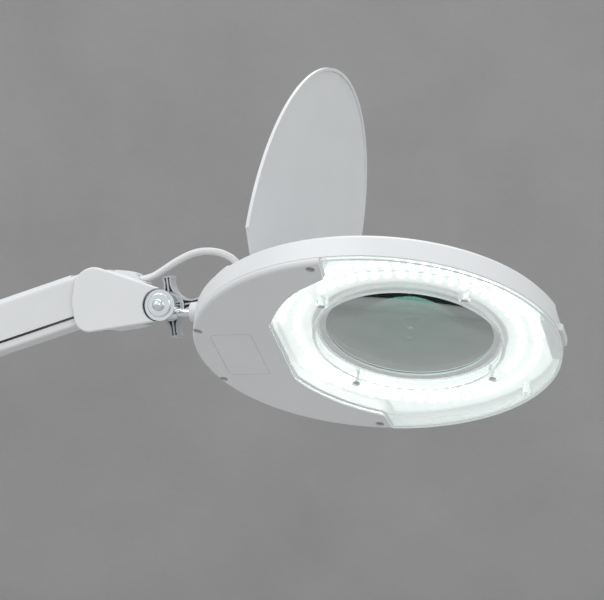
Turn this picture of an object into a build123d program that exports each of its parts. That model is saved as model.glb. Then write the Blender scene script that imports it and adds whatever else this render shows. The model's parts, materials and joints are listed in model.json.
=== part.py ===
"""Magnifying lamp: a table clamp, a sprung parallel arm and an oval LED head with a 127 mm lens.

Millimetres, +Z up. The origin is the middle of the face that rests on the table top, on the
swivel axis. +X runs along the arm towards the head, and the arm moves in the XZ plane.
The head is drawn in its own frame (origin on the lens axis in the plane of its underside,
x away from the arm, z up through the lid) and is then placed on its rod.
"""

import math
import os

from build123d import *

# ---- driving dimensions ----------------------------------------------------------------

ARM_LENGTH = 420.0        # pivot to pivot, both arms
LOWER_ANGLE = 112.0       # lower arm from +X, as it stands
FORE_ANGLE = 15.5         # forearm from +X, as it stands
LINK_OFFSET = 19.0        # pivot of an arm to the pivot of its parallel link
SHAFT_PLAY = 0.05         # radial clearance of a running fit

CHANNEL_HALF = 15.0       # arm channel, half its width and the radius of its ends
CHANNEL_TOP = 16.8        # arm channel above its pivots
CHANNEL_BOTTOM = -13.8
CHANNEL_SLOPE = 13.0      # each end rises to its full height over this length
CHANNEL_WALL = 1.5
CHANNEL_EDGE = 6.0        # rounding of the arm's long edges
LINK_HALF_WIDTH = 13.2
LINK_HALF_HEIGHT = 2.9
LINK_EYE = 5.0            # radius of the link round its pivots
LINK_WALL = 1.2
WEB_START = 14.0          # the web of a channel stops this far from its pivots
SPRING_PINS = (95.0, ARM_LENGTH - 95.0)
SPRING_Z = 4.0            # springs above the line between the pivots
PIN_RADIUS = 2.5
PLATE_IN, PLATE_OUT = 7.2, 9.2     # knuckle brackets are two plates between these Y
COVER_IN, COVER_OUT = 16.2, 18.0   # knuckle covers lie between these Y

BASE_PIVOT = (-10.4, 84.0)         # X, Z of the lower arm's lowest pivot
ELBOW_RISE = (8.0, 46.0)           # elbow: lower arm's pivot to the forearm's pivot
ROD_POINT_FROM_END = (48.8, -18.65)  # forearm's last pivot to the reference point on the rod
TILT_AXIS = (3.2, 5.5)             # tilt axis from that reference point, X and Z
KNOB_TURN = -6.7                   # degrees, as the tilt knob happens to stand

HEAD_ROLL = -29.75        # degrees about the rod
ROD_HEIGHT = 38.3         # rod axis above the underside, in the head's frame
ROD_POINT_X = -190.0      # reference point on the rod, in the head's frame
ROD_RADIUS = 2.9
OVAL_X, OVAL_Y = 133.2, 116.0      # half axes of the head's outline
OVAL_CENTRE = -23.4
SEAM_Z = 4.0              # seam between the housing and the covers below it
WALL_TOP = 19.0
HEAD_TOP = 22.3
SKIN = 2.4
LENS_RADIUS = 63.6
LENS_CURVE = 346.0        # surface radius of a three dioptre lens
WINDOW_RADIUS = 66.5      # opening of the clear cover below the lens
WINDOW_Z = 4.8
HINGE_X, HINGE_Z = -100.0, 25.5
HINGE_RADIUS = 2.6
HINGE_PIN = 1.18
LID_BARRELS = (-29.7, 29.7)
LID_PANEL = 1.4
LID_RIM = 1.2
LID_OPEN = 79.5           # degrees from closed
PLATE_SCREWS = ((-44.9, 106.8), (-44.9, -106.8), (-146.8, 33.5), (-146.8, -33.5))
POSTS = ((51, 53), (51, -53), (-51, 53), (-51, -53))

CABLE_RADIUS = 2.7
# Route of the cable from the shoulder cover to the gland on the head, from the rod point.
CABLE_ROUTE = [
    (-24.0, 9.0, 26.2),
    (-12.0, 9.1, 26.6),
    (-1.0, 9.6, 33.0),
    (11.0, 10.4, 40.2),
    (24.5, 11.4, 45.6),
    (38.5, 12.6, 45.4),
    (50.5, 14.2, 40.6),
    (58.5, 15.0, 31.0),
    (62.0, 12.9, 22.57),
    (62.0, 6.8, 11.89),
]

CLAMP_OPENING = 68.0      # lower jaw below the table top
SCREW_RADIUS = 4.95
SCREW_TOP = -40.0

parts = {}


# ---- helpers ---------------------------------------------------------------------------


def disc(radius, y0, y1, x=0.0, z=0.0):
    """A cylinder along Y."""
    return Pos(x, (y0 + y1) / 2, z) * Rot(90, 0, 0) * Cylinder(radius, y1 - y0)


def post(radius, z0, z1, x=0.0, y=0.0):
    """A cylinder along Z."""
    return Pos(x, y, (z0 + z1) / 2) * Cylinder(radius, z1 - z0)


def bar(radius, x0, x1, y=0.0, z=0.0):
    """A cylinder along X."""
    return Pos((x0 + x1) / 2, y, z) * Rot(0, 90, 0) * Cylinder(radius, x1 - x0)


def block(x0, x1, y0, y1, z0, z1):
    """A box between two corners."""
    return Pos((x0 + x1) / 2, (y0 + y1) / 2, (z0 + z1) / 2) * Box(x1 - x0, y1 - y0, z1 - z0)


def merge(shapes):
    """One solid from several."""
    result = shapes[0]
    for shape in shapes[1:]:
        result = result + shape
    return result


def group(shapes):
    """Separate solids that share one node."""
    solids = []
    for shape in shapes:
        solids += shape.solids()
    return Compound(children=solids)


def hull_face(circles):
    """The face that a belt round these (x, z, radius) circles encloses, in the XZ plane."""
    rings = [Pos(x, z) * Circle(r) for x, z, r in circles]
    edges = [edge for ring in rings for edge in ring.edges()]
    return make_face(make_hull(edges))


def xz_slab(face, y0, y1):
    """A face drawn as (x, z), made a plate between two Y."""
    slab = extrude(face, y1 - y0)
    return Pos(0, y1, 0) * Rot(90, 0, 0) * slab


def revolved(points):
    """A ring or disc about Z from its (r, z) outline."""
    return revolve(Plane.XZ * make_face(Polyline(*points, close=True)), Axis.Z)


def at_angle(x, z, angle):
    """Places a shape drawn along +X so that it leaves (x, z) at an angle in the XZ plane."""
    return Pos(x, 0, z) * Rot(0, -angle, 0)


# ---- where the pivots are --------------------------------------------------------------


def along(start, angle, distance):
    """A point at a distance from another, in the XZ plane."""
    rad = math.radians(angle)
    return (start[0] + distance * math.cos(rad), start[1] + distance * math.sin(rad))


def shifted(point, dx, dz):
    return (point[0] + dx, point[1] + dz)


base_main = BASE_PIVOT
base_link = shifted(base_main, LINK_OFFSET, 0)
elbow_low = along(base_main, LOWER_ANGLE, ARM_LENGTH)
elbow_low_link = shifted(elbow_low, LINK_OFFSET, 0)
elbow_high = shifted(elbow_low, *ELBOW_RISE)
elbow_high_link = shifted(elbow_high, 0, -LINK_OFFSET)
end_main = along(elbow_high, FORE_ANGLE, ARM_LENGTH)
end_link = shifted(end_main, 0, -LINK_OFFSET)
rod_point = shifted(end_main, *ROD_POINT_FROM_END)
tilt = shifted(rod_point, *TILT_AXIS)

head_place = (
    Pos(rod_point[0], 0, rod_point[1]) * Rot(HEAD_ROLL, 0, 0) * Pos(-ROD_POINT_X, 0, -ROD_HEIGHT)
)


# ---- table clamp -----------------------------------------------------------------------


def make_clamp():
    frame = block(-46, 32, -24, 24, 2, 10)
    frame += block(-46, -34, -24, 24, -CLAMP_OPENING - 12, 2)
    frame += block(-46, 16, -24, 24, -CLAMP_OPENING - 12, -CLAMP_OPENING)
    frame = fillet(frame.edges().filter_by(Axis.Z), 4)
    frame += post(17, 8, 45)
    frame += post(12, -CLAMP_OPENING - 18, -CLAMP_OPENING - 11)
    frame -= post(8, 3, 46)
    frame -= post(SCREW_RADIUS + SHAFT_PLAY, -CLAMP_OPENING - 20, -CLAMP_OPENING + 1)
    for y in (-14, 14):
        frame -= block(-38, -20, y - 6, y + 6, 6, 11)
    parts["clamp_frame"] = frame

    pad = block(-33.5, 31, -22, 22, 0, 2)
    parts["jaw_pad"] = fillet(pad.edges().filter_by(Axis.Z), 3)

    bush = post(8, 6, 45) + post(17, 45, 46.2)
    parts["swivel_bush"] = bush - post(6 + SHAFT_PLAY, 5, 47)

    screw = post(SCREW_RADIUS, -128, SCREW_TOP)
    screw += post(3.4, SCREW_TOP - 1, SCREW_TOP + 4.5)
    parts["clamp_screw"] = screw

    cup = post(16, -38.5, -32) - post(3.4 + SHAFT_PLAY, -39, -35.2)
    parts["clamp_pad_cup"] = fillet(cup.edges().group_by(Axis.Z)[0].sort_by(SortBy.LENGTH)[-1], 1.5)
    parts["clamp_pad_rubber"] = post(15, -32, -30)

    knob = star_knob(22, 14) - post(SCREW_RADIUS + 0.02, -1, 30)
    parts["clamp_knob"] = Pos(0, 0, -132) * knob


def star_knob(reach, depth):
    """A solid four-lobed hand knob standing on z=0, its axis along Z."""
    knob = post(reach * 0.62, 0, depth)
    for turn in range(4):
        lobe = block(0, reach - 5, -5, 5, 0, depth) + post(5, 0, depth, x=reach - 5)
        knob += Rot(0, 0, 90 * turn) * lobe
    return fillet(knob.edges().group_by(Axis.Z)[0], 1.2)


# ---- arms ------------------------------------------------------------------------------


def arm_channel():
    """The arm's main channel: open below, drawn from its first pivot along +X."""
    h = CHANNEL_HALF
    wall = CHANNEL_WALL

    def section(half, bottom, top, edge):
        body = block(-h, ARM_LENGTH + h, -half, half, bottom, top)
        rounded = [e for e in body.edges().filter_by(Axis.X) if e.center().Z > 0]
        return fillet(rounded, edge)

    channel = section(h, CHANNEL_BOTTOM, CHANNEL_TOP, CHANNEL_EDGE)
    channel -= section(h - wall, CHANNEL_BOTTOM - 1, CHANNEL_TOP - wall, CHANNEL_EDGE - wall)
    for x in (-h - 1, ARM_LENGTH - WEB_START):
        channel -= block(x, x + h + 1 + WEB_START, -h + wall, h - wall, -20, 20)
    middle = (CHANNEL_TOP + CHANNEL_BOTTOM) / 2
    radius = (CHANNEL_TOP - CHANNEL_BOTTOM) / 2
    sides = hull_face([
        (0, 0, h),
        (CHANNEL_SLOPE, middle, radius),
        (ARM_LENGTH - CHANNEL_SLOPE, middle, radius),
        (ARM_LENGTH, 0, h),
    ])
    channel = channel & xz_slab(sides, -h, h)
    for x in (0, ARM_LENGTH):
        channel -= disc(PIN_RADIUS + SHAFT_PLAY, -h - 1, h + 1, x=x)
    for x in SPRING_PINS:
        channel -= disc(2, -h - 1, h + 1, x=x, z=SPRING_Z)
    return channel


def link_channel():
    """The parallel link: a shallow channel, open above, with an eye round each pivot."""
    w, h = LINK_HALF_WIDTH, LINK_HALF_HEIGHT
    wall = LINK_WALL
    link = block(0, ARM_LENGTH, -w, w, -h, h)
    link = fillet([e for e in link.edges().filter_by(Axis.X) if e.center().Z < 0], 2)
    link -= block(-1, ARM_LENGTH + 1, -w + wall, w - wall, -h + wall, h + 1)
    for x in (-1, ARM_LENGTH - WEB_START):
        link -= block(x, x + 1 + WEB_START, -w + wall, w - wall, -h - 1, h + 1)
    for x in (0, ARM_LENGTH):
        link += disc(LINK_EYE, w - wall, w, x=x) + disc(LINK_EYE, -w, -w + wall, x=x)
    for x in (0, ARM_LENGTH):
        link -= disc(PIN_RADIUS + SHAFT_PLAY, -w - 1, w + 1, x=x)
    return link


def arm_springs():
    """Two springs side by side, each with a hook at both ends over the arm's cross pins."""
    near_pin, far_pin = SPRING_PINS
    coil_start, coil_end = near_pin + 20, near_pin + 185
    springs = []
    for y in (-6, 6):
        spring = bar(5, coil_start - 2, coil_end + 2, y=y, z=SPRING_Z)
        spring -= bar(3.6, coil_start, coil_end, y=y, z=SPRING_Z)
        spring += bar(0.8, near_pin + 3.2, coil_start - 1, y=y, z=SPRING_Z)
        spring += bar(0.8, coil_end + 1, far_pin - 3.2, y=y, z=SPRING_Z)
        for x in SPRING_PINS:
            hook = disc(4, y - 0.8, y + 0.8, x=x, z=SPRING_Z)
            spring += hook - disc(2.1, y - 1, y + 1, x=x, z=SPRING_Z)
        springs.append(spring)
    return springs


def make_arm(name, pivot, link_pivot, angle):
    place = at_angle(*pivot, angle)
    parts[f"{name}_channel"] = place * arm_channel()
    parts[f"{name}_link"] = at_angle(*link_pivot, angle) * link_channel()
    parts[f"{name}_springs"] = group([place * s for s in arm_springs()])
    pins = [disc(1.98, -CHANNEL_HALF, CHANNEL_HALF, x=x, z=SPRING_Z) for x in SPRING_PINS]
    parts[f"{name}_spring_pins"] = group([place * pin for pin in pins])


# ---- knuckles --------------------------------------------------------------------------


def main_pin(pivot):
    """A riveted pin through an arm channel."""
    x, z = pivot
    pin = disc(PIN_RADIUS, -15.9, 15.9, x, z)
    for y in (-15.9, 15.05):
        pin += disc(4.2, y, y + 0.85, x, z)
    return pin


def link_pin(pivot):
    return disc(PIN_RADIUS, -LINK_HALF_WIDTH, LINK_HALF_WIDTH, *pivot)


def bracket_plates(hulls, pivots, holes):
    """Two parallel steel plates, each the union of some hulls, drilled for pins and bosses."""
    face = hull_face(hulls[0])
    for hull in hulls[1:]:
        face += hull_face(hull)
    plate = xz_slab(face, PLATE_IN, PLATE_OUT)
    for x, z in pivots:
        plate -= disc(PIN_RADIUS + 0.02, 0, 20, x, z)
    for x, z in holes:
        plate -= disc(3.4, 0, 20, x, z)
    return [plate, mirror(plate, Plane.XZ)]


def cover_half(circles, bosses, rim_mask):
    """The +Y half of a moulded knuckle cover: a side wall, a rim on part of it and bosses."""
    face = hull_face(circles)
    inner = hull_face([(x, z, r - 1.8) for x, z, r in circles])
    half = xz_slab(face, 0.1, COVER_OUT)
    outer_edges = [e for e in half.edges() if e.center().Y > COVER_OUT - 0.01]
    half = fillet(outer_edges, 1.5)
    rim = (half - xz_slab(inner, 0, COVER_IN)) & rim_mask
    half = (half & block(-1e3, 1e3, COVER_IN, 20, -1e3, 2e3)) + rim
    for x, z in bosses:
        half += disc(3, 0.1, 13, x, z) + disc(4.4, 12.5, COVER_IN + 0.5, x, z)
    return half


def drilled_pair(half, bosses):
    """The near (-Y) and far (+Y) covers, with screw holes from the far side."""
    near = mirror(half, Plane.XZ)
    far = half
    for x, z in bosses:
        near -= disc(1.5, -12, 0, x, z)
        far -= disc(1.7, 0, 20, x, z) + disc(3, 15.2, 20, x, z)
    return near, far


def cover_screw(x, z):
    screw = disc(1.5, -11, 15.3, x, z) + disc(2.8, 15.3, 17.2, x, z)
    return screw - block(x - 2.2, x + 2.2, 16.4, 18, z - 0.4, z + 0.4)


def make_base_knuckle():
    (mx, mz), (lx, lz) = base_main, base_link
    boss = (0, 60)
    hulls = [[(mx, mz, 9), (lx, lz, 7), (0, 63.5, 9)]]
    plates = bracket_plates(hulls, [base_main, base_link], [boss])
    web = block(-5, 5, -PLATE_OUT, PLATE_OUT, 53, 56.5)
    parts["base_bracket"] = merge([web] + plates)
    pin = post(6, 4, 53) + post(16.5, 46.4, 49.8)
    parts["swivel_pin"] = pin - post(1.5, 3, 30)
    parts["base_pins"] = group([main_pin(base_main), link_pin(base_link)])

    mask = block(-40, 40, 0, 20, 49, 76)
    half = cover_half([(mx, mz, 18), (lx, lz, 14), (0, 67, 17)], [boss], mask)
    half -= post(6.3, 40, 56)
    outlet = at_angle(-20.5, 66.1, 211.5)
    half -= outlet * bar(4.5, -8, 3)
    near, far = drilled_pair(half, [boss])
    parts["base_cover_near"] = near
    parts["base_cover_far"] = far
    parts["base_cover_screw"] = cover_screw(*boss)
    grommet = bar(4.4, -6, 0.05) + bar(6, 0.05, 2.2) - bar(CABLE_RADIUS + 0.1, -7, 3)
    parts["cord_grommet"] = outlet * grommet


def make_elbow():
    ex, ez = elbow_low
    hx, hz = elbow_high
    kx, kz = elbow_high_link
    low_link = elbow_low_link
    boss = (ex - 3, ez + 23)
    hulls = [
        [(ex, ez, 9), (*low_link, 7)],
        [(ex, ez, 9), (hx, hz, 9)],
        [(hx, hz, 9), (kx, kz, 5.5)],
    ]
    pivots = [elbow_low, low_link, elbow_high, elbow_high_link]
    parts["elbow_bracket"] = group(bracket_plates(hulls, pivots, [boss]))
    pins = [main_pin(elbow_low), main_pin(elbow_high)]
    pins += [link_pin(low_link), link_pin(elbow_high_link)]
    parts["elbow_pins"] = group(pins)

    mask = block(ex - 40, ex - 1, 0, 20, ez + 4, ez + 70)
    circles = [(ex + 1, ez - 2, 20), (hx, hz, 19), (ex + 21, ez, 13), (hx + 6, hz - 20, 12)]
    half = cover_half(circles, [boss], mask)
    near, far = drilled_pair(half, [boss])
    parts["elbow_cover_near"] = near
    parts["elbow_cover_far"] = far
    parts["elbow_cover_screw"] = cover_screw(*boss)


def make_end_knuckle():
    ax, az = end_main
    bx, bz = end_link
    rx, rz = rod_point
    tx, tz = tilt
    bosses = [(rx - 30, rz + 3), (rx - 25.5, rz + 13)]
    hulls = [[(ax, az, 9), (bx, bz, 7), (tx, tz, 10)]]
    plates = bracket_plates(hulls, [end_main, end_link], bosses)
    plates = [p - disc(2.45, -20, 20, tx, tz) for p in plates]
    parts["end_bracket"] = group(plates)
    parts["end_pins"] = group([main_pin(end_main), link_pin(end_link)])

    circles = [(rx - 47, rz + 19.5, 16), (rx - 45.5, rz + 9.5, 19)]
    circles += [(rx - 51, rz - 0.5, 12), (tx, tz, 12)]
    mask = block(rx - 38, rx - 11, 0, 20, rz - 20, rz + 50)
    half = cover_half(circles, bosses, mask)
    half -= disc(12.4, -1, 20, tx, tz)
    near, far = drilled_pair(half, bosses)
    parts["end_cover_near"] = near

    # The far half carries the raised cable outlet.
    outlet = [(rx - 37, rz + 30), (rx - 37, rz + 34.3), (rx - 27, rz + 33.1), (rx - 21, rz + 31.2)]
    outlet += [(rx - 18.6, rz + 25.7), (rx - 18.6, rz + 22.5), (rx - 24, rz + 24)]
    ridge = xz_slab(make_face(Polyline(*outlet, close=True)), 3.2, 17.4)
    room = block(rx - 35.5, rx - 22, 5.2, 15.6, rz + 18, rz + 30.2)
    far = far + ridge
    far -= room
    far -= bar(CABLE_RADIUS + 0.5, rx - 30, rx, y=9.1, z=rz + 26.4)
    far -= disc(24.6, 10.3, 20, tx, tz)
    parts["end_cover_far"] = far
    parts["end_cover_screws"] = group([cover_screw(x, z) for x, z in bosses])

    # Fasteners of the tilt joint, from the near side to the far side.
    parts["tilt_bolt"] = disc(2.4, -17.9, 17.5, tx, tz)
    steel = [disc(11, -12.0, -9.25, tx, tz), disc(11.5, -14.6, -13.2, tx, tz)]
    cup = disc(8.8, -16.6, -14.6, tx, tz)
    steel += [disc(11, 9.25, 10.0, tx, tz), fillet(cup.edges().sort_by(Axis.Y)[0], 0.8)]
    bore = disc(2.45, -30, 30, tx, tz)
    parts["tilt_washers"] = group([washer - bore for washer in steel])
    parts["fibre_washer"] = disc(10.4, -13.2, -12.0, tx, tz) - bore
    nut = Pos(tx, -17.4, tz) * Sphere(4.35) & block(tx - 9, tx + 9, -25, -16.6, tz - 9, tz + 9)
    parts["dome_nut"] = nut - disc(2.4, -17.9, -15, tx, tz)


def knob_outline(reach, half_width, waist):
    """A star of four arms with square tips, joined by arcs that come within waist of the middle."""
    inner = waist / math.sqrt(2)
    outline = []
    for turn in range(4):
        start, middle, end = (
            Vector(*point, 0).rotate(Axis.Z, 90 * turn)
            for point in ((reach, half_width), (inner, inner), (half_width, reach))
        )
        tip = Vector(-half_width, reach, 0).rotate(Axis.Z, 90 * turn)
        outline += [ThreePointArc(start, middle, end), Line(end, tip)]
    return make_face(outline)


def make_tilt_knob():
    """Four-armed hand knob on the far side: a smooth face outwards, ribbed hollows inwards."""
    tx, tz = tilt
    depth, face, wall, rib = 12.0, 1.6, 1.3, 0.6
    star = knob_outline(23.0, 3.9, 10.4)
    knob = extrude(star, depth)
    knob = fillet(knob.edges().filter_by(Axis.Z), 0.9)
    hollow = Pos(0, 0, -1) * extrude(offset(star, -wall), depth - face + 1)
    for turn in (0, 90):
        hollow -= Rot(0, 0, turn) * block(-24, 24, -rib, rib, -2, depth)
    knob -= hollow - post(6, -2, depth)
    knob -= post(4.4, -2, depth - face)
    place = Pos(tx, 10.6, tz) * Rot(-90, 0, 0) * Rot(0, 0, KNOB_TURN)
    parts["tilt_knob"] = place * knob
    insert = extrude(RegularPolygon(4.3, 6), depth - face - 0.6) - post(2.45, -1, depth)
    parts["knob_insert"] = place * insert


def make_tilt_hub():
    """The hub that the rod goes into: a disc on the tilt axis with a sleeve for the rod below it."""
    tx, tz = tilt
    rz = rod_point[1]
    hub = disc(9.6, -7, 7, tx, tz) + bar(4.7, tx - 9, tx + 9.6, z=rz)
    hub -= disc(2.45, -8, 8, tx, tz)
    hub -= bar(ROD_RADIUS + SHAFT_PLAY, tx - 9.7, tx + 20, z=rz)
    parts["tilt_hub"] = hub


# ---- head ------------------------------------------------------------------------------


def oval(inset, z0, z1):
    """The head's outline, pulled in all round, as a prism."""
    face = Ellipse(OVAL_X - inset, OVAL_Y - inset)
    return Pos(OVAL_CENTRE, 0, z0) * extrude(face, z1 - z0)


def window_face():
    """The part of the outline below the lens that the clear cover takes."""
    r, edge = 100.0, 126.0
    flat_x, flat_y = -93.0, 37.0
    turn_x, turn_y = -39.0, 94.0
    mid = r / math.sqrt(2)
    lines = Polyline((flat_x, -flat_y), (flat_x, flat_y))
    lines += ThreePointArc((flat_x, flat_y), (-mid, mid), (turn_x, turn_y))
    lines += Polyline((turn_x, turn_y), (-36, edge), (130, edge), (130, -edge))
    lines += Polyline((130, -edge), (-36, -edge), (turn_x, -turn_y))
    lines += ThreePointArc((turn_x, -turn_y), (-mid, -mid), (flat_x, -flat_y))
    face = make_face(lines)
    corners = [v for v in face.vertices() if abs(v.X - turn_x) < 1 and abs(abs(v.Y) - turn_y) < 1]
    return fillet(corners, 5)


def make_head_shell():
    window = window_face()
    shell = oval(0, SEAM_Z, WALL_TOP)
    rings = [(0, WALL_TOP), (3, HEAD_TOP)]
    crown = loft(
        [Pos(OVAL_CENTRE, 0, z) * Ellipse(OVAL_X - inset, OVAL_Y - inset) for inset, z in rings]
    )
    shell += crown
    shell -= oval(SKIN, SEAM_Z - 1, HEAD_TOP - SKIN)
    shell -= oval(-1, SEAM_Z - 0.1, SEAM_Z + 0.35) - oval(0.6, SEAM_Z - 1, SEAM_Z + 1)
    # Backing behind the finger notch and the wall between the two chambers.
    inside = oval(SKIN - 0.2, SEAM_Z + 0.2, HEAD_TOP - 1)
    shell += block(99, 112, -26, 26, SEAM_Z + 0.2, HEAD_TOP - 1) & inside
    bulkhead = extrude(window, HEAD_TOP - 5) - extrude(offset(window, -1.6), HEAD_TOP)
    shell += (Pos(0, 0, SEAM_Z + 0.2) * bulkhead) & inside & block(-100, -30, -130, 130, 0, 30)
    notch = [(-23, 23), (-12, 7), (12, 7), (23, 23)]
    notch_face = Plane.YZ * make_face(Polyline(*notch, close=True))
    shell -= Pos(106.4, 0, 0) * extrude(notch_face, 20)
    tab = block(104, 112, -11, 11, SEAM_Z + 0.1, 9.5)
    shell += fillet(tab.edges().filter_by(Axis.Z), 2)
    shell -= post(66.2, SEAM_Z + 8, HEAD_TOP + 5)
    for x, y in ((-146, 22), (-146, -22), (-112, 30), (-112, -30)):
        shell += post(2.6, 13.7, HEAD_TOP - 1, x, y)
    for x, y in PLATE_SCREWS:
        shell += (post(3.6, 4.4, HEAD_TOP - 1, x, y) & oval(1, 0, 30)) - post(1.4, 3, 16, x, y)
    for x, y in POSTS:
        shell += post(3.8, 15.3, HEAD_TOP - 1, x, y) - post(1.2, 15, 19, x, y)
    shell -= post(4.5, HEAD_TOP - 4, HEAD_TOP + 1, -128, 0)
    parts["head_housing"] = shell

    plate = oval(0, 0, SEAM_Z)
    plate = fillet(plate.edges().group_by(Axis.Z)[0], SEAM_Z - 0.4)
    plate -= oval(SKIN, 2.2, SEAM_Z + 1)
    plate -= extrude(window, 10, both=True)
    for x, y in PLATE_SCREWS:
        plate += post(4.2, 1.9, SEAM_Z, x, y) & oval(0.2, 0, 30)
        plate -= post(3.3, -1, 3.2, x, y) + post(1.8, -1, 10, x, y)
    label = Pos(-124.5, 0) * RectangleRounded(30.9, 56, 3)
    groove = label - Pos(-124.5, 0) * RectangleRounded(29.9, 55, 2.5)
    plate -= extrude(groove, 0.35)
    parts["base_plate"] = plate
    screws = [
        post(2.9, 2.0, 3.2, x, y) + post(1.4, 3.2, 15, x, y)
        - block(x - 2, x + 2, y - 0.4, y + 0.4, 0, 2.6)
        for x, y in PLATE_SCREWS
    ]
    return screws


def make_clear_cover():
    window = offset(window_face(), -0.3)
    outline = Pos(OVAL_CENTRE, 0) * Ellipse(OVAL_X - 0.4, OVAL_Y - 0.4)
    region = window & outline
    inner = (offset(window, -1.8)) & (
        Pos(OVAL_CENTRE, 0) * Ellipse(OVAL_X - 2.2, OVAL_Y - 2.2)
    )
    dish = revolved([
        (WINDOW_RADIUS, WINDOW_Z), (100, 0.8), (180, 0.8), (180, 2.8),
        (100.2, 2.8), (69.2, 6.5), (67.2, 13.2), (64.6, 13.2),
    ])
    cover = dish & extrude(region, 20)
    rim = Pos(0, 0, 0.8) * (extrude(region, SEAM_Z - 0.9) - extrude(inner, SEAM_Z))
    cover += rim
    for x, y in POSTS:
        cover += post(4.4, 5.2, 13.8, x, y)
        cover -= post(1.6, 3, 15, x, y) + post(3.0, 0, 6.6, x, y)
    for y in (71.5, -71.5):
        cover += post(2.6, 2.2, 12, 72.5, y) - post(1.5, 2.9, 13, 72.5, y)
    parts["clear_cover"] = cover
    screws = [post(2.6, 4.9, 6.6, x, y) + post(1.2, 6.6, 18.5, x, y) for x, y in POSTS]
    return screws


def make_optics():
    carrier = [(60.2, 13.4), (66, 13.4), (66, 18.3), (69.4, 18.3), (69.4, 19.8), (66.1, 19.8)]
    carrier += [(66.1, 22.2), (63.9, 22.2), (63.9, 15.0), (60.2, 15.0)]
    parts["lens_carrier"] = revolved(carrier)
    low, high, flat = 15.05, 17.55, 60.0
    sag = LENS_CURVE - math.sqrt(LENS_CURVE**2 - flat**2)
    half_flat = flat / 2
    mid_sag = LENS_CURVE - math.sqrt(LENS_CURVE**2 - half_flat**2)
    bottom = ThreePointArc((0, low - sag), (half_flat, low - sag + mid_sag), (flat, low))
    top = ThreePointArc((flat, high), (half_flat, high + sag - mid_sag), (0, high + sag))
    edge = Polyline((flat, low), (LENS_RADIUS, low), (LENS_RADIUS, high), (flat, high))
    axis = Line((0, high + sag), (0, low - sag))
    parts["lens"] = revolve(Plane.XZ * make_face(bottom + edge + top + axis), Axis.Z)
    parts["lens_retainer"] = revolved([(60.4, 17.6), (63.8, 17.6), (63.8, 19.2), (60.4, 19.2)])


def make_lights():
    window = offset(window_face(), -2.2)
    tray = extrude(window, 1) & oval(3.2, -1, 5)
    tray = Pos(0, 0, 14.2) * tray - post(70.4, 10, 20) - block(98.7, 120, -26.3, 26.3, 10, 20)
    for x, y in POSTS:
        tray -= post(2.0, 10, 20, x, y)
    parts["reflector"] = tray
    board = post(98, 12.6, 14.1) - post(71, 12, 15)
    for x, y in POSTS:
        board -= post(4.7, 12, 15, x, y)
    board = board & block(-90.8, 98, -98, 98, 12, 15)
    parts["led_board"] = board
    leds = []
    for radius, count in ((80.5, 56), (92.0, 64)):
        for index in range(count):
            turn = 360 * index / count + 1.5
            x = radius * math.cos(math.radians(turn))
            y = radius * math.sin(math.radians(turn))
            near_post = any(math.hypot(x - px, y - py) < 7.5 for px, py in POSTS)
            if x > -88 and not near_post:
                leds.append(Rot(0, 0, turn) * block(radius - 1.4, radius + 1.4, -1.75, 1.75, 11.8, 12.6))
    parts["leds"] = group(leds)


def make_driver():
    board = block(-150, -106, -28, 28, 12, 13.6) & oval(6, 0, 30)
    parts["driver_board"] = board
    transformer = block(-132, -114, -12, 8, 5, 12)
    capacitors = [post(4.5, 5.5, 12, -120, y) for y in (13.5, 23)]
    regulator = block(-146, -138, -10, -2, 8, 12)
    terminals = block(-146, -136, 8, 22, 6, 12)
    parts["driver_parts"] = group([transformer, *capacitors, regulator, terminals])


def make_rear():
    cover = oval(3.4, HEAD_TOP + 0.05, 24.6) & block(-170, -106, -80, 80, 20, 30)
    hump = bar(13, -157, -118, z=ROD_HEIGHT)
    hump = fillet(hump.edges().filter_by(GeomType.CIRCLE), 4)
    cover += hump + (block(-151, -119, -13, 13, HEAD_TOP + 0.05, ROD_HEIGHT) & oval(3.4, 20, 40))
    for y0 in (-41, -21.4, 18.4, 38):
        ear = block(-107, HINGE_X, y0, y0 + 3, HEAD_TOP + 0.05, 24.6)
        ear += Pos(HINGE_X, 0, HINGE_Z) * disc(2.6, y0, y0 + 3)
        cover += ear
    cover -= disc(1.2, -50, 50, HINGE_X, HINGE_Z)
    cover -= bar(ROD_RADIUS + 0.02, -160, -138, z=ROD_HEIGHT)
    cover -= post(4.25, 20, 60, -128, 0)
    cover -= block(-131, -119, 33, 51.4, 20, 25)
    parts["rear_cover"] = cover
    parts["neck_collar"] = fillet(
        bar(7.3, -167.2, -157.1, z=ROD_HEIGHT).edges().sort_by(Axis.X)[0], 1.2
    ) - bar(ROD_RADIUS + 0.02, -170, -150, z=ROD_HEIGHT)
    parts["rod"] = bar(ROD_RADIUS, ROD_POINT_X + TILT_AXIS[0] - 8.8, -138.2, z=ROD_HEIGHT)
    gland = post(4.2, 30, 54.5, -128, 0) + post(5.6, 51.6, 53.2, -128, 0)
    parts["cable_gland"] = gland - post(CABLE_RADIUS + 0.15, 29, 56, -128, 0)
    parts["hinge_pins"] = group([disc(1.18, y - 11.3, y + 11.3, HINGE_X, HINGE_Z) for y in (-29.7, 29.7)])

    bezel = block(-132.5, -117.5, 31.2, 53.2, 24.65, 26.2) - block(-130.4, -119.6, 33.6, 50.8, 24, 27)
    parts["switch_bezel"] = bezel
    rocker = Pos(-125, 42.2, 26) * Rot(7, 0, 0) * Box(9, 15.4, 5)
    rocker += bar(1, -130.1, -119.9, y=42.2, z=26)
    parts["switch_rocker"] = rocker


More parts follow.
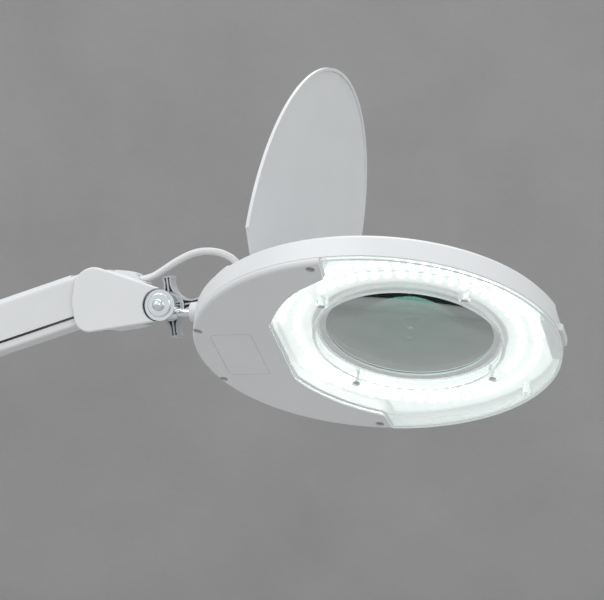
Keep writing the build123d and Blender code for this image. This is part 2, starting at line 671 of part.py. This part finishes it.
def make_lid():
    """The hinged lid over the lens: a thin panel with a low rim, modelled closed and swung open."""
    corners = [(-83, 98), (-91, 80), (-96.5, 44)]
    mask = [(140, 130), (-83, 130), *corners]
    mask += [(x, -y) for x, y in reversed(mask)]
    outline = make_face(Polyline(*mask, close=True))

    def layer(inset, z0, z1):
        face = Ellipse(OVAL_X - 1.2 - inset, OVAL_Y - 3.7 - inset)
        panel = Pos(OVAL_CENTRE, 0, z0) * extrude(face, z1 - z0)
        return panel & (Pos(0, 0, z0) * extrude(outline, z1 - z0))

    lid = layer(0, HINGE_Z, HINGE_Z + 0.9) + layer(0.5, HINGE_Z + 0.9, HINGE_Z + LID_PANEL)
    lid += layer(0, HINGE_Z - LID_RIM, HINGE_Z + 0.1) - layer(2.2, HINGE_Z - 3, HINGE_Z + 0.1)
    for y in LID_BARRELS:
        lid += block(HINGE_X, -95, y - 8, y + 8, HINGE_Z, HINGE_Z + LID_PANEL)
        lid += disc(HINGE_RADIUS, y - 8, y + 8, HINGE_X, HINGE_Z)
    lid -= disc(HINGE_PIN + SHAFT_PLAY, -50, 50, HINGE_X, HINGE_Z)
    hinge = Pos(HINGE_X, 0, HINGE_Z)
    parts["lid"] = hinge * Rot(0, -LID_OPEN, 0) * Pos(-HINGE_X, 0, -HINGE_Z) * lid


def make_head():
    before = set(parts)
    parts["head_screws"] = group(make_head_shell() + make_clear_cover())
    make_optics()
    make_lights()
    make_driver()
    make_rear()
    make_lid()
    for name in set(parts) - before:
        parts[name] = head_place * parts[name]


# ---- cable -----------------------------------------------------------------------------


def make_cable():
    points = [Vector(rod_point[0] + x, y, rod_point[1] + z) for x, y, z in CABLE_ROUTE]
    radii = []
    for a, b, c in zip(points, points[1:], points[2:]):
        turn = math.radians((b - a).get_angle(c - b))
        radii.append(0.45 * min((b - a).length, (c - b).length) / math.tan(turn / 2))
    path = FilletPolyline(*points, radius=radii)
    section = Plane(origin=path @ 0, z_dir=path % 0) * Circle(CABLE_RADIUS)
    tube = sweep(section, path=path)
    parts["cable_loop"] = tube


# ---- build -----------------------------------------------------------------------------

make_clamp()
make_base_knuckle()
make_arm("lower_arm", base_main, base_link, LOWER_ANGLE)
make_elbow()
make_arm("forearm", elbow_high, elbow_high_link, FORE_ANGLE)
make_end_knuckle()
make_tilt_knob()
make_tilt_hub()
make_head()
make_cable()

os.makedirs("parts", exist_ok=True)
for name, shape in parts.items():
    export_step(shape, f"parts/{name}.step")
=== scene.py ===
"""The looks of the magnifying lamp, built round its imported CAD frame.

Metres, +Z up, in the frame of the CAD part. The camera and the cable come first, then the
materials, the pieces that replace plain CAD solids, the stage and the lights.
"""

import json
import math

import bpy
from mathutils import Matrix, Vector


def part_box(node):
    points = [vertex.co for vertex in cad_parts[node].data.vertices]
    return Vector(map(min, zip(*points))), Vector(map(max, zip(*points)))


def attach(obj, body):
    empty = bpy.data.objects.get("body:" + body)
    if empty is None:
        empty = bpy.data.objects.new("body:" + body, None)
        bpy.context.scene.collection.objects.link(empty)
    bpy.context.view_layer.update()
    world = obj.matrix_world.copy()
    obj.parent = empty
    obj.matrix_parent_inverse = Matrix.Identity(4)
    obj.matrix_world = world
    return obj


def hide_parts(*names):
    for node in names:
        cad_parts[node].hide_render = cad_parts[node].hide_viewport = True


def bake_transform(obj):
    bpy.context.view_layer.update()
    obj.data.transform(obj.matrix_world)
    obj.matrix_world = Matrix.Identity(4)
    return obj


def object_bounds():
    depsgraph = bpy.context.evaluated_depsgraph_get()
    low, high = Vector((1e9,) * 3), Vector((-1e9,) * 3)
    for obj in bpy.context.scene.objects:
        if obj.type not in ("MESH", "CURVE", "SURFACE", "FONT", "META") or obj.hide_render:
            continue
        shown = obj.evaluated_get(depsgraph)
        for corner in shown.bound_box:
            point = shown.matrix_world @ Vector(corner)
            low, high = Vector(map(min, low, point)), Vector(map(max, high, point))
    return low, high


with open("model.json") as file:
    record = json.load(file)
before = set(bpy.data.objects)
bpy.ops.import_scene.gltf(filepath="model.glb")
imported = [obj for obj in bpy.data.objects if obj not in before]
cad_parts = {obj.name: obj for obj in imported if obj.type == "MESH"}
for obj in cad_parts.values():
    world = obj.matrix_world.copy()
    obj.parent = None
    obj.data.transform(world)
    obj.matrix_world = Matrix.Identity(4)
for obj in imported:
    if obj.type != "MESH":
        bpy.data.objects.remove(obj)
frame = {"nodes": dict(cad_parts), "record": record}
cad_low, cad_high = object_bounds()
nodes = frame["nodes"]

MM = 0.001

# ---- reference places, from the frame --------------------------------------------------

TILT_FROM_ROD_POINT = Vector((3.2, 0, 5.5)) * MM
ARM_LENGTH = 420.0 * MM
LOWER_ANGLE = math.radians(112.0)
FORE_ANGLE = math.radians(15.5)


def centre(node):
    low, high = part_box(node)
    return (low + high) / 2


tilt_axis = centre("fibre_washer") * Vector((1, 0, 1))
rod_point = tilt_axis - TILT_FROM_ROD_POINT


# ---- camera ----------------------------------------------------------------------------

CAMERA_FROM_TILT_AXIS = Vector((0.5615, -1.6404, -0.0877))
CAMERA_AZIMUTH, CAMERA_ELEVATION, CAMERA_TILT = (math.radians(a) for a in (15.566, 2.952, -1.607))
LENS_MM = 139.7


def make_camera():
    data = bpy.data.cameras.new("camera")
    data.sensor_fit = "HORIZONTAL"
    data.sensor_width = 36
    data.lens = LENS_MM
    camera = bpy.data.objects.new("camera", data)
    bpy.context.scene.collection.objects.link(camera)
    camera.matrix_world = (
        Matrix.Translation(tilt_axis + CAMERA_FROM_TILT_AXIS)
        @ Matrix.Rotation(CAMERA_AZIMUTH, 4, "Z")
        @ Matrix.Rotation(math.pi / 2 + CAMERA_ELEVATION, 4, "X")
        @ Matrix.Rotation(CAMERA_TILT, 4, "Z")
    )
    bpy.context.scene.camera = camera


make_camera()


# ---- mesh helpers ----------------------------------------------------------------------


def mesh_object(name, points, faces, smooth=True):
    mesh = bpy.data.meshes.new(name)
    mesh.from_pydata([tuple(p) for p in points], [], faces)
    mesh.validate()
    if smooth:
        mesh.shade_smooth()
    made = bpy.data.objects.new(name, mesh)
    bpy.context.scene.collection.objects.link(made)
    return made


def tube_object(name, line, radius, sides, first=0, last=None):
    """A closed round tube of one radius along a line of points, or along a part of the line."""
    points, faces = [], []
    last = len(line) - 1 if last is None else last
    across = None
    for index, point in enumerate(line):
        before = line[max(index - 1, 0)]
        after = line[min(index + 1, len(line) - 1)]
        ahead = (after - before).normalized()
        if across is None:
            across = ahead.orthogonal().normalized()
        across = (across - ahead * across.dot(ahead)).normalized()
        other = ahead.cross(across)
        if not first <= index <= last:
            continue
        for side in range(sides):
            turn = 2 * math.pi * side / sides
            points.append(point + radius * (math.cos(turn) * across + math.sin(turn) * other))
    rings = last - first + 1
    for ring in range(rings - 1):
        for side in range(sides):
            a = ring * sides + side
            b = ring * sides + (side + 1) % sides
            faces.append((a, b, b + sides, a + sides))
    faces.append(tuple(range(sides - 1, -1, -1)))
    faces.append(tuple(range((rings - 1) * sides, rings * sides)))
    tube = mesh_object(name, points, faces)
    tube.data.set_sharp_from_angle(angle=math.radians(60))
    return tube


# ---- cable -----------------------------------------------------------------------------

CABLE_DIAMETER = 5.4 * MM
# The route in millimetres from the rod point, as the CAD part has it.
CABLE_ROUTE = [
    (-24.0, 9.0, 26.2),
    (-12.0, 9.1, 26.6),
    (-1.0, 9.6, 33.0),
    (11.0, 10.4, 40.2),
    (24.5, 11.4, 45.6),
    (38.5, 12.6, 45.4),
    (50.5, 14.2, 40.6),
    (58.5, 15.0, 31.0),
    (62.0, 12.9, 22.57),
    (62.0, 6.8, 11.89),
]


def cable_line():
    """Points along the smooth spline that the route's points control."""
    curve = bpy.data.curves.new("cable_route", "CURVE")
    curve.dimensions = "3D"
    curve.resolution_u = 12
    spline = curve.splines.new("NURBS")
    spline.points.add(len(CABLE_ROUTE) - 1)
    for point, place in zip(spline.points, CABLE_ROUTE):
        point.co = (*(rod_point + Vector(place) * MM), 1)
    spline.order_u = 3
    spline.use_endpoint_u = True
    holder = bpy.data.objects.new("cable_route", curve)
    bpy.context.scene.collection.objects.link(holder)
    bpy.context.view_layer.update()
    mesh = bpy.data.meshes.new_from_object(holder)
    line = [v.co.copy() for v in mesh.vertices]
    bpy.data.objects.remove(holder)
    return line


def make_cable():
    """Two tubes that meet at the top of the loop."""
    line = cable_line()
    middle = len(line) // 2
    halves = (
        ("cable_loop_arm_side", 0, middle, "end_knuckle", "tilt_hub"),
        ("cable_loop_head_side", middle, len(line) - 1, "tilt_hub", "head"),
    )
    made = []
    for name, first, last, near_body, far_body in halves:
        tube = tube_object(name, line, CABLE_DIAMETER / 2, 28, first, last)
        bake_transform(tube)
        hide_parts("cable_loop")
        made.append(tube)
    return made


cables = make_cable()


# ---- materials -------------------------------------------------------------------------


def shader_of(material):
    return material.node_tree.nodes["Principled BSDF"]


def new_material(name, colour, roughness, **sockets):
    """A Principled material. Sockets are given by their name with _ for a space."""
    material = bpy.data.materials.new(name)
    material.use_nodes = True
    shader = shader_of(material)
    shader.inputs["Base Color"].default_value = (*colour, 1)
    shader.inputs["Roughness"].default_value = roughness
    for socket, value in sockets.items():
        shader.inputs[socket.replace("_", " ")].default_value = value
    return material


def add(material, kind, **inputs):
    """Adds a node and sets or links its inputs by name."""
    node = material.node_tree.nodes.new(kind)
    for name, value in inputs.items():
        socket = node.inputs[name.replace("_", " ")]
        if isinstance(value, bpy.types.NodeSocket):
            material.node_tree.links.new(value, socket)
        else:
            socket.default_value = value
    return node


def place_on_object(material, stretch=(1, 1, 1), turn=(0, 0, 0), shift=(0, 0, 0)):
    """Coordinates fixed to the piece, in metres, stretched or turned."""
    coordinates = add(material, "ShaderNodeTexCoord")
    mapping = add(material, "ShaderNodeMapping", Vector=coordinates.outputs["Object"])
    mapping.inputs["Scale"].default_value = stretch
    mapping.inputs["Rotation"].default_value = turn
    mapping.inputs["Location"].default_value = shift
    return mapping.outputs["Vector"]


def noise(material, size, detail=2.0, rough=0.5, **place):
    """Noise from 0 to 1 whose blobs are about size metres across."""
    vector = place_on_object(material, **place)
    texture = add(
        material,
        "ShaderNodeTexNoise",
        Vector=vector,
        Scale=1 / size,
        Detail=detail,
        Roughness=rough,
    )
    return texture.outputs[0]


def spread(material, value, low, high, start=0.3, end=0.7):
    """Maps a value from start..end to low..high."""
    node = add(material, "ShaderNodeMapRange", Value=value)
    for name, number in zip(("From Min", "From Max", "To Min", "To Max"), (start, end, low, high)):
        node.inputs[name].default_value = number
    return node.outputs["Result"]


def vary_colour(material, value, low, high):
    """Base colour between two colours as value goes from 0.3 to 0.7."""
    share = spread(material, value, 0, 1)
    mix = material.node_tree.nodes.new("ShaderNodeMix")
    mix.data_type = "RGBA"
    material.node_tree.links.new(share, mix.inputs[0])
    mix.inputs[6].default_value = (*low, 1)
    mix.inputs[7].default_value = (*high, 1)
    material.node_tree.links.new(mix.outputs[2], shader_of(material).inputs["Base Color"])


def vary_roughness(material, value, low, high):
    result = spread(material, value, low, high)
    material.node_tree.links.new(result, shader_of(material).inputs["Roughness"])


def relief(material, value, depth):
    """Bump of a depth in metres, on top of any bump the material has."""
    normal = shader_of(material).inputs["Normal"]
    bump = add(material, "ShaderNodeBump", Height=value, Distance=depth)
    if normal.is_linked:
        material.node_tree.links.new(normal.links[0].from_socket, bump.inputs["Normal"])
    material.node_tree.links.new(bump.outputs["Normal"], normal)


def scaled(colour, factor):
    return tuple(channel * factor for channel in colour)


def moulded(name, colour, roughness, grain=0.5 * MM, depth=0.012 * MM, **sockets):
    """Moulded plastic: spark-eroded grain, slow drift of colour and rubbed, glossier patches."""
    material = new_material(name, colour, roughness, **sockets)
    vary_colour(material, noise(material, 45 * MM, 4), scaled(colour, 0.965), colour)
    vary_roughness(material, noise(material, 14 * MM, 5, 0.6), roughness - 0.05, roughness + 0.07)
    relief(material, noise(material, grain, 3, 0.65), depth)
    relief(material, noise(material, 22 * MM, 1), 0.06 * MM)
    return material


def powder_coat(name, colour, roughness):
    """Powder coat on steel: orange peel under a thin gloss, and specks."""
    material = new_material(name, colour, roughness, Coat_Weight=0.25, Coat_Roughness=0.12)
    vary_colour(material, noise(material, 30 * MM, 5), scaled(colour, 0.96), colour)
    vary_roughness(material, noise(material, 9 * MM, 4), roughness - 0.05, roughness + 0.06)
    relief(material, noise(material, 1.6 * MM, 2), 0.02 * MM)
    relief(material, noise(material, 0.35 * MM, 2), 0.005 * MM)
    return material


def rings_about(material, axis_point, pitch):
    """Turning marks: 0 to 1 and back with the distance from an axis along Y."""
    coordinates = add(material, "ShaderNodeTexCoord")
    away = add(material, "ShaderNodeVectorMath")
    away.operation = "SUBTRACT"
    material.node_tree.links.new(coordinates.outputs["Object"], away.inputs[0])
    away.inputs[1].default_value = axis_point
    flat = add(material, "ShaderNodeVectorMath")
    flat.operation = "MULTIPLY"
    material.node_tree.links.new(away.outputs[0], flat.inputs[0])
    flat.inputs[1].default_value = (1, 0, 1)
    distance = add(material, "ShaderNodeVectorMath")
    distance.operation = "LENGTH"
    material.node_tree.links.new(flat.outputs[0], distance.inputs[0])
    wave = distance.outputs["Value"]
    steps = (("MULTIPLY", 2 * math.pi / pitch), ("SINE", 0), ("MULTIPLY_ADD", 0.5))
    for operation, number in steps:
        step = material.node_tree.nodes.new("ShaderNodeMath")
        step.operation = operation
        material.node_tree.links.new(wave, step.inputs[0])
        step.inputs[1].default_value = number
        step.inputs[2].default_value = 0.5
        wave = step.outputs[0]
    return wave


METAL_MARK_DEPTH = 0.006 * MM
TURNING_PITCH = 0.5 * MM


def metal(name, colour, roughness, grain=0.6 * MM, stretch=(1, 1, 1), turned=None):
    """Bare or plated metal: drawn or turned marks, stains and a few duller patches."""
    material = new_material(name, colour, roughness, Metallic=1.0)
    vary_colour(material, noise(material, 12 * MM, 5, 0.6), scaled(colour, 0.86), colour)
    vary_roughness(material, noise(material, 4 * MM, 5, 0.7), roughness - 0.06, roughness + 0.1)
    relief(material, noise(material, grain, 3, 0.6, stretch=stretch), METAL_MARK_DEPTH)
    if turned is not None:
        relief(material, rings_about(material, turned, TURNING_PITCH), METAL_MARK_DEPTH)
    return material


def let_lamp_light_through(material, tint):
    """Rays to the lamps pass straight through the clear piece, as real light does in the end."""
    tree = material.node_tree
    output = tree.nodes["Material Output"]
    path = tree.nodes.new("ShaderNodeLightPath")
    clear = tree.nodes.new("ShaderNodeBsdfTransparent")
    clear.inputs[0].default_value = (*tint, 1)
    mix = tree.nodes.new("ShaderNodeMixShader")
    tree.links.new(path.outputs["Is Shadow Ray"], mix.inputs[0])
    tree.links.new(shader_of(material).outputs[0], mix.inputs[1])
    tree.links.new(clear.outputs[0], mix.inputs[2])
    tree.links.new(mix.outputs[0], output.inputs["Surface"])


def clear_plastic():
    """Moulded clear polycarbonate: faint waviness, fine scratches, and a glow.

    The glow stands for the lamp light that scatters inside the cover.
    """
    material = new_material(
        "clear_plastic",
        (0.965, 0.99, 0.98),
        0.14,
        Transmission_Weight=1.0,
        IOR=1.45,
        Emission_Color=(0.92, 1.0, 0.99, 1),
        Emission_Strength=0.07,
    )
    vary_roughness(material, noise(material, 6 * MM, 4), 0.12, 0.2)
    relief(material, noise(material, 9 * MM, 2), 0.05 * MM)
    relief(material, noise(material, 0.8 * MM, 3, 0.6, stretch=(0.2, 1, 1)), 0.003 * MM)
    let_lamp_light_through(material, (0.93, 0.97, 0.96))
    return material


def lens_glass():
    """Polished glass with a green cast in its depth and a blue-green surface bloom.

    Its index of refraction is set below the 1.52 of real crown glass.
    """
    material = new_material(
        "lens_glass",
        (0.97, 1.0, 0.985),
        0.0,
        Transmission_Weight=1.0,
        IOR=1.3,
        Specular_Tint=(0.45, 0.95, 0.88, 1),
    )
    relief(material, noise(material, 60 * MM, 1), 0.004 * MM)
    vary_roughness(material, noise(material, 25 * MM, 6, 0.7), 0.0, 0.025)
    let_lamp_light_through(material, (0.88, 0.96, 0.93))
    depth = material.node_tree.nodes.new("ShaderNodeVolumeAbsorption")
    depth.inputs["Color"].default_value = (0.35, 0.86, 0.72, 1)
    depth.inputs["Density"].default_value = 14.0
    output = material.node_tree.nodes["Material Output"]
    material.node_tree.links.new(depth.outputs[0], output.inputs["Volume"])
    return material


def glowing(name, colour, roughness, glow, strength):
    """A white surface that also gives off light: on the LEDs this is their own lamp light, on the
    white board a painted glow that stands for the lamps' light scattered on it.
    """
    material = moulded(name, colour, roughness)
    shader = shader_of(material)
    shader.inputs["Emission Color"].default_value = (*glow, 1)
    shader.inputs["Emission Strength"].default_value = strength
    return material


WHITE = (0.75, 0.755, 0.76)

materials = {
    "white_housing": moulded("white_housing", WHITE, 0.42),
    "arm_paint": powder_coat("arm_paint", (0.72, 0.725, 0.73), 0.34),
    "bright_zinc": metal("bright_zinc", (0.86, 0.90, 0.91), 0.11, turned=tilt_axis),
    "steel": metal("steel", (0.62, 0.63, 0.64), 0.27, stretch=(0.08, 1, 1)),
    "spring_steel": metal("spring_steel", (0.42, 0.42, 0.43), 0.3, grain=0.25 * MM),
    "clear_plastic": clear_plastic(),
    "lens_glass": lens_glass(),
    "led": glowing("led", (1.0, 0.97, 0.85), 0.4, (1.0, 0.99, 0.96), 4.5),
    # painted glow: the white board is no lamp, its emission stands for the LED light that falls on
    # it
    "white_board": glowing("white_board", (0.9, 0.9, 0.9), 0.35, (0.93, 1.0, 0.98), 0.33),
    "green_board": moulded("green_board", (0.03, 0.16, 0.07), 0.3, grain=1.2 * MM),
    "component": moulded("component", (0.02, 0.02, 0.022), 0.45),
    "knob_plastic": moulded("knob_plastic", (0.55, 0.56, 0.58), 0.38, grain=0.4 * MM),
    "nylon": moulded("nylon", (0.72, 0.71, 0.66), 0.5),
    "fibre": moulded("fibre", (0.16, 0.11, 0.08), 0.8, grain=0.3 * MM, depth=0.03 * MM),
    "black_rubber": moulded("black_rubber", (0.018, 0.018, 0.019), 0.7, depth=0.03 * MM),
    "cable_white": moulded("cable_white", (0.74, 0.74, 0.74), 0.36, grain=0.9 * MM),
    "switch_black": moulded("switch_black", (0.015, 0.015, 0.016), 0.3),
}


def dress_frame():
    """Every CAD node takes the material of the record's slot that it names."""
    slot_of = {part["node"]: part["material_slot"] for part in frame["record"]["subparts"]}
    for name, node in nodes.items():
        for slot in node.material_slots:
            slot.material = materials[slot_of[name]]


def finish_piece(piece, slot, body, *replaced):
    piece.data.materials.append(materials[slot])
    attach(piece, body)
    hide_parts(*replaced)


dress_frame()
for tube in cables:
    tube.data.materials.append(materials["cable_white"])


# ---- springs ---------------------------------------------------------------------------

SPRING_SIDES = (-6.0 * MM, 6.0 * MM)
SPRING_PIN_AT = 95.0 * MM
COIL_START, COIL_END = 116.0 * MM, 279.0 * MM
COIL_RADIUS = 4.3 * MM
WIRE_RADIUS = 0.65 * MM
COIL_PITCH = 1.36 * MM
COIL_STEPS = 12                    # points in one turn of the coil
LEAD_LENGTH = 6.0 * MM             # straight wire between the coil and a hook
HOOK_RADIUS = 2.8 * MM
HOOK_STEPS = 9
HOOK_STEP_ANGLE = 32.0             # degrees
NEAR_HOOK_START, FAR_HOOK_START = 250.0, 186.0


def hook(pin_at, start):
    """An open hook round a pin, from an angle in degrees."""
    turns = [math.radians(start - HOOK_STEP_ANGLE * step) for step in range(HOOK_STEPS)]
    return [
        Vector((pin_at + HOOK_RADIUS * math.cos(turn), 0, HOOK_RADIUS * math.sin(turn)))
        for turn in turns
    ]


def spring_line():
    """A close-wound coil with a straight lead and an open hook at each end, along +X."""
    line = hook(SPRING_PIN_AT, NEAR_HOOK_START)
    line.append(Vector((COIL_START - LEAD_LENGTH, 0, 0)))
    turns = int((COIL_END - COIL_START) / COIL_PITCH)
    for step in range(turns * COIL_STEPS + 1):
        turn = 2 * math.pi * step / COIL_STEPS
        line.append(Vector((
            COIL_START + COIL_PITCH * step / COIL_STEPS,
            COIL_RADIUS * math.sin(turn),
            COIL_RADIUS * math.cos(turn),
        )))
    line.append(Vector((COIL_END + LEAD_LENGTH, 0, 0)))
    return line + hook(ARM_LENGTH - SPRING_PIN_AT, FAR_HOOK_START)


def make_springs(body, pin_node, angle):
    """The pair of springs of an arm, from the middle of the arm's two spring pins."""
    middle = centre(pin_node)
    turn = Matrix.Rotation(-angle, 4, "Y")
    for index, side in enumerate(SPRING_SIDES):
        local = spring_line()
        shift = Vector((-ARM_LENGTH / 2, side, 0))
        line = [middle + turn @ (point + shift) for point in local]
        spring = tube_object(f"{body}_spring_{index + 1}", line, WIRE_RADIUS, 8)
        finish_piece(spring, "spring_steel", body, f"{body}_springs")


make_springs("lower_arm", "lower_arm_spring_pins", LOWER_ANGLE)
make_springs("forearm", "forearm_spring_pins", FORE_ANGLE)


# ---- clamp screw -----------------------------------------------------------------------

THREAD_PITCH = 1.5 * MM
THREAD_CREST, THREAD_ROOT = 4.95 * MM, 4.15 * MM
SPIGOT_RADIUS = 3.4 * MM
SPIGOT_LENGTH = 4.5 * MM
SPIGOT_CHAMFER = 0.5 * MM


def make_clamp_screw():
    """The clamp's screw with a real thread, and a plain spigot that turns in the pad's cup."""
    low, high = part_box("clamp_screw")
    top = high.z - SPIGOT_LENGTH
    sides, steps_per_pitch = 40, 8
    rows = int((top - low.z) / THREAD_PITCH * steps_per_pitch)
    rings = [(low.z + (top - low.z) * row / rows, "thread") for row in range(rows + 1)]
    rings += [(top, SPIGOT_RADIUS), (high.z - SPIGOT_CHAMFER, SPIGOT_RADIUS)]
    rings += [(high.z, SPIGOT_RADIUS - SPIGOT_CHAMFER)]
    points, faces = [], []
    for height, radius in rings:
        for side in range(sides):
            turn = 2 * math.pi * side / sides
            around = radius
            if radius == "thread":
                phase = ((height - low.z) / THREAD_PITCH - side / sides) % 1
                around = THREAD_ROOT + (THREAD_CREST - THREAD_ROOT) * (1 - abs(2 * phase - 1))
                end = min((height - low.z) / MM, (top - height) / MM, 1)
                around = min(around, THREAD_ROOT + (THREAD_CREST - THREAD_ROOT) * end)
            points.append((around * math.cos(turn), around * math.sin(turn), height))
    count = len(rings)
    for ring in range(count - 1):
        for side in range(sides):
            a = ring * sides + side
            b = ring * sides + (side + 1) % sides
            faces.append((a, b, b + sides, a + sides))
    faces.append(tuple(range(sides - 1, -1, -1)))
    faces.append(tuple(range((count - 1) * sides, count * sides)))
    screw = mesh_object("clamp_screw_threaded", points, faces, smooth=False)
    finish_piece(screw, "steel", "clamp_screw", "clamp_screw")


make_clamp_screw()


# ---- stage and lights ------------------------------------------------------------------

WALL_DISTANCE = 6.5
WALL_COLOUR = (0.43, 0.422, 0.412)


def make_plane(name, centre_at, half_x, half_y, turn):
    corners = ((-1, -1), (1, -1), (1, 1), (-1, 1))
    points = [(x * half_x, y * half_y, 0) for x, y in corners]
    plane = mesh_object(name, points, [(0, 1, 2, 3)], smooth=False)
    plane.matrix_world = Matrix.Translation(centre_at) @ turn
    return plane


def make_stage():
    floor_z = cad_low.z
    flat = Matrix.Identity(4)
    upright = Matrix.Rotation(math.pi / 2, 4, "X")
    floor = make_plane("floor", Vector((0, 0, floor_z)), 9, 6.6, flat)
    pale = moulded("pale_floor", (0.46, 0.46, 0.455), 0.6, grain=4 * MM)
    floor.data.materials.append(pale)
    wall = make_plane("wall", Vector((0, WALL_DISTANCE, floor_z + 3.5)), 9, 3.5, upright)
    plaster = new_material("plaster", WALL_COLOUR, 0.85)
    clouds = noise(plaster, 0.5, 7, 0.62)
    vary_colour(plaster, clouds, scaled(WALL_COLOUR, 0.93), scaled(WALL_COLOUR, 1.05))
    relief(plaster, noise(plaster, 0.03, 6, 0.6), 1.5 * MM)
    wall.data.materials.append(plaster)


def soft_light(name, place, aim, size, power):
    data = bpy.data.lights.new(name, "AREA")
    data.shape = "RECTANGLE"
    data.size, data.size_y = size
    data.energy = power
    light = bpy.data.objects.new(name, data)
    bpy.context.scene.collection.objects.link(light)
    light.location = place
    light.rotation_euler = (Vector(aim) - Vector(place)).to_track_quat("-Z", "Y").to_euler()


def make_lights():
    aim = centre("head_housing")
    soft_light("key", (-0.9, -1.9, 3.0), aim, (2.2, 1.6), 34)
    soft_light("fill", (2.6, -2.2, 1.4), aim, (1.6, 1.6), 18)
    soft_light("top", (0.6, 1.6, 3.2), aim, (2.4, 1.6), 34)
    world = bpy.data.worlds.new("studio")
    world.use_nodes = True
    world.node_tree.nodes["Background"].inputs["Color"].default_value = (0.95, 0.975, 1.0, 1)
    world.node_tree.nodes["Background"].inputs["Strength"].default_value = 0.8
    bpy.context.scene.world = world
    bpy.context.scene.view_settings.view_transform = "Standard"


make_stage()
make_lights()
